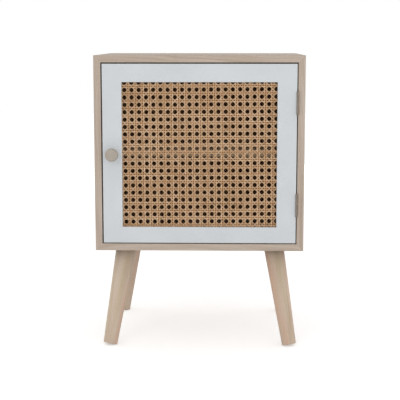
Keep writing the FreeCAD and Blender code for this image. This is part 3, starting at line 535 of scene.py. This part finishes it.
def pair_strands(layout, rng, upright):
    """Each strand of the upright or level pairs: its path, sideways direction and height."""
    across = ("x", layout["first_x"], CANE["pitch_across"])
    up = ("z", layout["first_z"], CANE["pitch_up"])
    one, other = (across, up) if upright else (up, across)
    (edges, first, pitch), (run, other_first, other_pitch) = one, other
    low, high = layout[edges]
    start, end = layout[run]
    reach = (CANE["width"] + CANE["pair_gap"]) / 2
    length = np.linspace(start, end, int((end - start) / other_pitch * CANE["steps"]))
    over = CANE["weave"] * weave_height(off_centre(length, other_first, other_pitch))
    shared = CANE["shared_wander"]
    for number in range(int((high - low) / pitch) + 1):
        drift = wander(rng, length)
        for side in (-1, 1):
            place = first + number * pitch + side * reach
            own_drift = shared * drift + (1 - shared) * wander(rng, length)
            own = place + CANE["wander"] * own_drift
            if upright:
                yield np.stack((own, length), axis=1), (1.0, 0.0), -side * over
            else:
                yield np.stack((length, own), axis=1), (0.0, 1.0), side * over


def diagonal_strands(layout, rng, slope):
    """Each strand that rises, or falls at slope -1: its path, sideways direction and height."""
    pitch_x, pitch_z = CANE["pitch_across"], CANE["pitch_up"]
    (low_x, high_x), (low_z, high_z) = layout["x"], layout["z"]
    run = pitch_x / pitch_z
    norm = math.hypot(run, 1)
    sideways = (1 / norm, -slope * run / norm)
    middle_z = layout["first_z"] + pitch_z / 2
    count = int((high_x - low_x) / pitch_x + (high_z - low_z) / pitch_z) + 4
    for number in range(-count, count):
        at_middle = layout["first_x"] + number * pitch_x
        ends = sorted(middle_z + slope * (edge - at_middle) / run for edge in (low_x, high_x))
        start, end = max(low_z, ends[0]), min(high_z, ends[1])
        if end - start < CANE["width"]:
            continue
        steps = int((end - start) / pitch_z * CANE["diagonal_steps"])
        length = np.linspace(start, end, max(3, steps))
        x = at_middle + slope * (length - middle_z) * run
        drift = CANE["wander"] * wander(rng, length)
        phase = math.tau * (x - layout["first_x"]) / pitch_x
        height = -slope * CANE["diagonal_weave"] * np.cos(phase)
        path = np.stack((x + drift * sideways[0], length + drift * sideways[1]), axis=1)
        yield path, sideways, height


def add_cane_family(family, strands, width, rng, layout, material):
    """All the strands that run one way, as one piece in place of the frame's plain ones.

    The strands come from a generator that draws from rng too, in turn with this loop.
    """
    points, runs, tones, faces = [], [], [], []
    base = 0
    for path, sideways, height in strands:
        half_width = width / 2 * rng.uniform(*CANE["width_spread"])
        own, run = strand_shape(path, sideways, half_width, height)
        faces += strand_faces(base, len(path))
        points.append(own)
        tones.append(np.full(len(own), rng.uniform(0, 1)))
        runs.append(run + (rng.uniform(*CANE["run_offsets"]), 0))
        base += len(own)
    points = np.concatenate(points)
    cosine, sine = math.cos(CANE["turn"]), math.sin(CANE["turn"])
    across, up = points[:, 0] - layout["middle"][0], points[:, 2] - layout["middle"][1]
    points[:, 0] = layout["middle"][0] + across * cosine - up * sine
    points[:, 2] = layout["middle"][1] + across * sine + up * cosine
    points[:, 1] += layout["y"]
    piece = new_piece(f"woven_{family}_strands", points, faces, material, "door", "cane")
    mesh = piece.data
    corners = np.empty(len(mesh.loops), int)
    mesh.loops.foreach_get("vertex_index", corners)
    mesh.uv_layers.new(name="run").data.foreach_set("uv", np.concatenate(runs)[corners].ravel())
    mesh.attributes.new("tone", "FLOAT", "POINT").data.foreach_set("value", np.concatenate(tones))
    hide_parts(f"cane_{family}_strands")


def add_cane(layout, pair_material, diagonal_material):
    """The four families of strands, each with a seeded generator of its own."""
    pairs, diagonals = (CANE["width"], pair_material), (CANE["diagonal_width"], diagonal_material)
    for family, maker, side, (width, material) in (
            ("upright", pair_strands, True, pairs),
            ("level", pair_strands, False, pairs),
            ("rising", diagonal_strands, 1, diagonals),
            ("falling", diagonal_strands, -1, diagonals)):
        rng = np.random.RandomState(SEED + len(family))
        add_cane_family(family, maker(layout, rng, side), width, rng, layout, material)


# ---------------------------------------------------------------- legs and knob

def add_legs(material):
    """Four tapered round legs with softly rounded feet, leaning outwards along the diagonals."""
    low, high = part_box("legs")
    plates_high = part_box("leg_plates")[1]
    middle_y = (low.y + high.y) / 2
    top_x = plates_high.x - LEG["plate"] / 2
    top_y = plates_high.y - LEG["plate"] / 2 - middle_y
    splay, rounding, edge = LEG["splay"], LEG["rounding"], LEG["top_edge"]
    top, foot = LEG["top"] / 2, LEG["foot"] / 2
    top_rise = top * math.sin(splay)
    length = (high.z - low.z - top_rise - (foot - rounding) * math.sin(splay) - rounding)
    length = length / math.cos(splay) + rounding
    outwards = math.sin(splay) * math.sqrt(0.5)
    foot_edge = arc((foot - rounding, -length + rounding), rounding, 0, -90, 6)
    profile = [(0, 0), (top - edge, 0), (top, -edge), *foot_edge, (0, -length)]
    shape = lathe(profile[::-1], LEG["turns"])
    for side, sx in (("left", -1), ("right", 1)):
        for end, sy in (("front", -1), ("back", 1)):
            place = Vector((sx * top_x, middle_y + sy * top_y, high.z - top_rise))
            upwards = (-sx * outwards, -sy * outwards, math.cos(splay))
            piece = new_piece(f"leg_{end}_{side}", *placed(shape, facing(upwards, place)), material,
                              "table", "leg_wood")
            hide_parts("legs")


def add_knob(material):
    """A round knob with a waisted neck, a soft rim and a nearly flat face."""
    low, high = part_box("knob")
    radius, soft, depth = KNOB["diameter"] / 2, KNOB["soft"], KNOB["projection"]
    neck, edge = KNOB["neck"] / 2, KNOB["back_edge"]
    back = depth - KNOB["rim"]
    profile = [(0, 0), *((neck + wider, share * back) for wider, share in NECK_CURVE)]
    profile += arc((radius - edge, back + edge), edge, -60, 0, 4)
    profile += arc((radius - soft, depth - soft), soft, 0, 86, 10)
    profile += [((radius - soft) * share, depth - KNOB["crown"] * share) for share in (0.7, 0.4)]
    shape = lathe([*profile, (0, depth)], KNOB["turns"])
    middle = Vector(((low.x + high.x) / 2, high.y, (low.z + high.z) / 2))
    piece = new_piece("turned_knob", *placed(shape, facing((0, -1, 0), middle)), material, "door",
                      "knob_wood")
    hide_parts("knob")


# ---------------------------------------------------------------- screws, nails and brads

def head_rise(x, y, domed):
    """A head's height as a share at a place in its unit circle, with a cross recess in its top."""
    near, far = sorted((abs(x), abs(y)))
    if near < RECESS["half_width"] and far < RECESS["reach"]:
        return RECESS["floor"] + RECESS["rise"] * far
    share = x * x + y * y
    return math.sqrt(1 - 0.75 * share) if domed else 1 - 0.08 * share ** 2


def screw_head(width, height, domed):
    """A round head from its seat at z 0."""
    radius, turns = width / 2, HEAD_TURNS
    points = [(0.0, 0.0, height * RECESS["floor"])]
    for share in HEAD_RINGS:
        points += [(radius * x, radius * y, height * head_rise(x, y, domed))
                   for x, y, _ in circle(share, 0, turns)]
    points += circle(radius, 0.0, turns)
    faces = [(0, 1 + step, 1 + (step + 1) % turns) for step in range(turns)]
    for ring in range(len(HEAD_RINGS)):
        low, high = 1 + ring * turns, 1 + (ring + 1) * turns
        faces += [(low + step, high + step, high + (step + 1) % turns, low + (step + 1) % turns)
                  for step in range(turns)]
    return points, faces


def shank(width, length):
    """A plain round shank below z 0 with a short point."""
    tip = min(width, length / 3)
    profile = [(0, -length), (0.15 * width, -length + 0.2 * tip), (width / 2, -length + tip),
               (width / 2, 0)]
    return lathe(profile, 16)


def solid_boxes(node):
    """Lowest and highest corners of each separate solid in a node."""
    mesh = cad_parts[node].data
    parent = list(range(len(mesh.vertices)))

    def root(index):
        while parent[index] != index:
            parent[index] = parent[parent[index]]
            index = parent[index]
        return index

    by_place = {}
    for vertex in mesh.vertices:
        key = tuple(round(value, 6) for value in vertex.co)
        parent[vertex.index] = by_place.setdefault(key, vertex.index)
    for edge in mesh.edges:
        first, second = root(edge.vertices[0]), root(edge.vertices[1])
        parent[first] = second
    groups = {}
    for vertex in mesh.vertices:
        groups.setdefault(root(vertex.index), []).append(vertex.co)
    return [(Vector(map(min, zip(*group))), Vector(map(max, zip(*group))))
            for group in groups.values()]


def add_screws(node, body, outwards, head, shank_width, domed, slot, material):
    """Round screws with cross recesses in place of a node's plain ones."""
    outwards = Vector(outwards)
    axis = max(range(3), key=lambda index: abs(outwards[index]))
    shapes = []
    for low, high in solid_boxes(node):
        seat = (low + high) / 2
        top = high[axis] if outwards[axis] > 0 else low[axis]
        seat[axis] = top - outwards[axis] * head[1]
        length = high[axis] - low[axis] - head[1]
        matrix = facing(outwards, seat)
        shapes.append(placed(screw_head(*head, domed), matrix))
        shapes.append(placed(shank(shank_width, length), matrix))
    piece = new_piece(f"{node}_round", *joined(shapes), material, body, slot)
    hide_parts(node)


def add_back_nails(material):
    """Flat-headed nails round the back panel."""
    low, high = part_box("back_panel")
    middle = (low + high) / 2
    edge_x, edge_z = (high.x - low.x) / 2, (high.z - low.z) / 2
    half_x, half_z = edge_x - NAIL["from_corner"], edge_z - NAIL["from_corner"]
    edge_x, edge_z = edge_x - NAIL["inset"], edge_z - NAIL["inset"]
    spots = [(step * half_x, side * edge_z) for step in (-1, 0, 1) for side in (-1, 1)]
    spots += [(side * edge_x, step * half_z) for step in (-1, 0, 1) for side in (-1, 1)]
    radius, height = NAIL["head"] / 2, NAIL["height"]
    head = lathe([(radius, 0), (radius, 0.6 * height), (0.8 * radius, height), (0, height)], 24)
    shapes = [placed(head, facing((0, 1, 0), (middle.x + x, high.y, middle.z + z)))
              for x, z in spots]
    new_piece("back_panel_nails", *joined(shapes), material, "table", "zinc_steel")


def add_batten_brads(material):
    """Small brad heads on the inner faces of the battens that hold the cane."""
    left_low, left_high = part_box("batten_left")
    inner_x = (left_high.x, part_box("batten_right")[0].x)
    inner_z = (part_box("batten_bottom")[1].z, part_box("batten_top")[0].z)
    middle_x, middle_z = sum(inner_x) / 2, sum(inner_z) / 2
    half_x = (inner_x[1] - inner_x[0]) / 2 - BRAD["from_corner"]
    half_z = (inner_z[1] - inner_z[0]) / 2 - BRAD["from_corner"]
    y = (left_low.y + left_high.y) / 2
    radius = BRAD["head"] / 2
    head = lathe([(radius, 0), (0.7 * radius, BRAD["shoulder"]), (0, BRAD["height"])], 12)
    shapes = []
    for step in (-1, 0, 1):
        across, up = middle_x + step * half_x, middle_z + step * half_z
        shapes += [placed(head, facing((side, 0, 0), (x, y, up)))
                   for side, x in zip((1, -1), inner_x)]
        shapes += [placed(head, facing((0, 0, side), (across, y, z)))
                   for side, z in zip((1, -1), inner_z)]
    new_piece("batten_brads", *joined(shapes), material, "door", "zinc_steel")


# ---------------------------------------------------------------- floor, light and camera

def add_floor():
    """A pale floor that reads white, keeps the shadow, and is clear to a camera below it."""
    half = FLOOR["half"]
    mesh = bpy.data.meshes.new("studio_floor")
    corners = [(-half, -half, 0), (half, -half, 0), (half, half, 0), (-half, half, 0)]
    mesh.from_pydata(corners, [], [(0, 1, 2, 3)])
    floor = bpy.data.objects.new("studio_floor", mesh)
    bpy.context.scene.collection.objects.link(floor)
    material, tree, shader, place = new_surface("studio_floor")
    patches = noise(tree, place, (6, 6, 6))
    colour = ramp(tree, patches, (0.2, grey(FLOOR["dark"])), (0.8, grey(FLOOR["pale"])))
    finish_surface(tree, shader, colour, 0.9)
    shader.inputs["Specular IOR Level"].default_value = 0.0
    seen = add(tree, "LightPath").outputs["Is Camera Ray"]
    glow = add(tree, "Emission", {"Color": WHITE, "Strength": times(tree, seen, FLOOR["glow"])})
    both = add(tree, "AddShader", {0: shader.outputs[0], 1: glow.outputs[0]})
    from_below = times(tree, seen, add(tree, "NewGeometry").outputs["Backfacing"])
    clear = add(tree, "BsdfTransparent")
    shown = add(tree, "MixShader", {0: from_below, 1: both.outputs[0], 2: clear.outputs[0]})
    output = next(node for node in tree.nodes if node.type == "OUTPUT_MATERIAL")
    tree.links.new(shown.outputs[0], output.inputs[0])
    mesh.materials.append(material)


def add_world():
    """Soft light from all round; what the camera, a reflection or glass sees of it is white."""
    world = bpy.data.worlds.new("studio")
    bpy.context.scene.world = world
    world.use_nodes = True
    tree = world.node_tree
    tree.nodes.clear()
    rays = add(tree, "LightPath").outputs
    seen = math_node(tree, "MAXIMUM", rays["Is Camera Ray"], rays["Is Glossy Ray"])
    seen = math_node(tree, "MAXIMUM", seen, rays["Is Transmission Ray"])
    strength = plus(tree, times(tree, seen, 1 - SKY_LEVEL), SKY_LEVEL)
    background = add(tree, "Background", {"Color": WHITE, "Strength": strength})
    output = add(tree, "OutputWorld")
    tree.links.new(background.outputs[0], output.inputs[0])


def add_lamp(name, place, target, size, watts):
    """A round soft lamp that the camera doesn't see."""
    data = bpy.data.lights.new(name, "AREA")
    data.shape = "DISK"
    data.size = size
    data.energy = watts
    lamp = bpy.data.objects.new(name, data)
    lamp.location = place
    lamp.rotation_euler = (Vector(target) - Vector(place)).to_track_quat("-Z", "Y").to_euler()
    lamp.visible_camera = False
    bpy.context.scene.collection.objects.link(lamp)


def add_camera():
    """The photograph's view, without a lens shift."""
    data = bpy.data.cameras.new("camera")
    data.sensor_width = CAMERA["sensor"]
    data.lens = CAMERA["lens"]
    camera = bpy.data.objects.new("camera", data)
    camera.location = CAMERA["place"]
    camera.rotation_euler = (math.pi / 2 - CAMERA["down"], 0, CAMERA["turn"])
    bpy.context.scene.collection.objects.link(camera)
    bpy.context.scene.camera = camera
    bpy.context.scene.view_settings.view_transform = "Standard"


# ---------------------------------------------------------------- the whole scene

# Dark, middle and pale wood, and its pores.
OAK = (tint(168, 151, 135), tint(184, 168, 153), tint(198, 184, 170), tint(140, 121, 104))
SHELF_OAK = (tint(184, 154, 121), tint(206, 177, 143), tint(220, 194, 162), tint(150, 122, 92))
KNOB_WOOD = (tint(160, 149, 136), tint(175, 166, 154), tint(188, 179, 167), tint(134, 120, 106))
PLYWOOD = (tint(168, 140, 104), tint(190, 162, 124), tint(206, 180, 142), tint(140, 108, 74))
# Dark, middle and pale strands.
RATTAN = (tint(160, 116, 70), tint(205, 163, 120), tint(226, 194, 158))
PALE_RATTAN = (tint(150, 117, 82), tint(186, 153, 119), tint(206, 177, 147))

board_woods = {}
for board in BOARDS:
    grain_axis = 2 if "side" in board else 0
    palette = SHELF_OAK if board == "shelf" else OAK
    board_woods[board] = wood(f"oak_{board}", grain_axis, *palette, board=board)
knob_wood = wood("knob_wood", 2, *KNOB_WOOD)
plywood = wood("plywood", 1, *PLYWOOD)
turned_wood = leg_wood("turned_leg_wood")
white = paint("white_paint", tint(207, 211, 214), 0.32)
black = paint("black_powder_coat", tint(34, 34, 35), 0.5)
bronze = metal("bronzed_steel", tint(142, 130, 119), 0.42)
zinc = metal("zinc_plate", tint(196, 198, 200), 0.32)
fibreboard = speckled("back_fibreboard", tint(138, 103, 72), tint(172, 136, 100), 0.8, 0.8 * MM)
ferrite = speckled("ferrite", tint(48, 46, 46), tint(74, 72, 72), 0.6, 0.5 * MM)
plastic = speckled("catch_plastic", tint(74, 56, 42), tint(88, 67, 51), 0.45, 1.2 * MM)
weave = cane_layout()
# The 0.6 and 0.5 are how far painted shade darkens each strand's rims; the pairs' layout also
# paints shade where their gaps cross.
rattan = cane("pair_rattan", *RATTAN, 0.6, weave)
pale_rattan = cane("diagonal_rattan", *PALE_RATTAN, 0.5)

NODE_MATERIALS = {
    **board_woods, "back_panel": fibreboard,
    "mitre_spline_top_left": plywood, "mitre_spline_top_right": plywood,
    "mitre_spline_bottom_left": plywood, "mitre_spline_bottom_right": plywood,
    "legs": turned_wood, "leg_plates": black, "leg_bolts": zinc, "leg_plate_screws": zinc,
    "door_frame": white, "batten_top": white, "batten_bottom": white, "batten_left": white,
    "batten_right": white, "knob": knob_wood, "knob_screw": zinc,
    "upper_hinge_frame_leaf": bronze, "lower_hinge_frame_leaf": bronze,
    "upper_hinge_door_leaf": bronze, "lower_hinge_door_leaf": bronze,
    "upper_hinge_pin": bronze, "lower_hinge_pin": bronze,
    "hinge_frame_screws": bronze, "hinge_door_screws": bronze,
    "catch_housing": plastic, "catch_magnet": ferrite, "catch_pole_plates": zinc,
    "catch_screws": zinc, "strike_plate": zinc, "strike_screws": zinc,
    "cane_rising_strands": pale_rattan, "cane_falling_strands": pale_rattan,
    "cane_upright_strands": rattan, "cane_level_strands": rattan,
}
for name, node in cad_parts.items():
    node.data.materials.clear()
    node.data.materials.append(NODE_MATERIALS[name])

add_cane(weave, rattan, pale_rattan)
add_legs(turned_wood)
add_knob(knob_wood)
for node, screws in SCREWS.items():
    add_screws(node, *screws, NODE_MATERIALS[node])
add_back_nails(zinc)
add_batten_brads(zinc)

add_floor()
add_world()
for lamp in LAMPS:
    add_lamp(*lamp)
add_camera()
